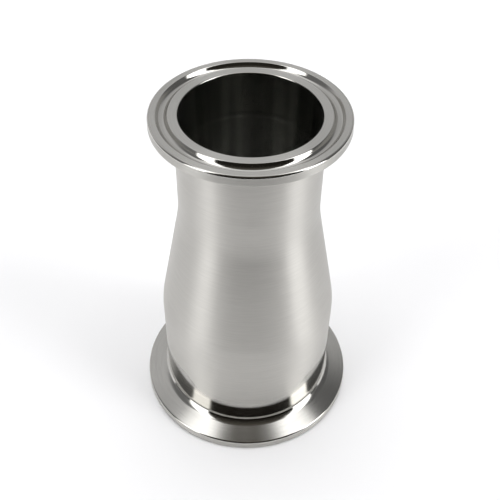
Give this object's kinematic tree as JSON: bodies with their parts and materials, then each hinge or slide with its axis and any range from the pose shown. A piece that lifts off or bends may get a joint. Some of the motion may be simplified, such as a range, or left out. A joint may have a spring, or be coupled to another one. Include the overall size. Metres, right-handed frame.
{
  "type": "sanitary clamp reducer",
  "caption": "Concentric sanitary pipe reducer with a clamp ferrule welded to each end of a tapering satin tube and a clear bore from end to end.",
  "frame": {"origin": "centre of the large end's sealing face, which is also what it stands on", "axes": "+Z along the passage from the large end to the small end; X and Y are any two directions across it, because the part is round"},
  "size_m": [0.064, 0.064, 0.1],
  "materials": {
    "polished_steel": "machined and polished stainless steel, near mirror, with fine turning marks",
    "satin_steel": "satin stainless steel, brushed round the tube",
    "ground_weld": "weld ground flush and brushed round the tube"
  },
  "bodies": {
    "root": {"large_ferrule": "polished_steel", "large_end_weld": "ground_weld", "reducer_body": "satin_steel", "small_end_weld": "ground_weld", "small_ferrule": "polished_steel"}
  },
  "joints": []
}
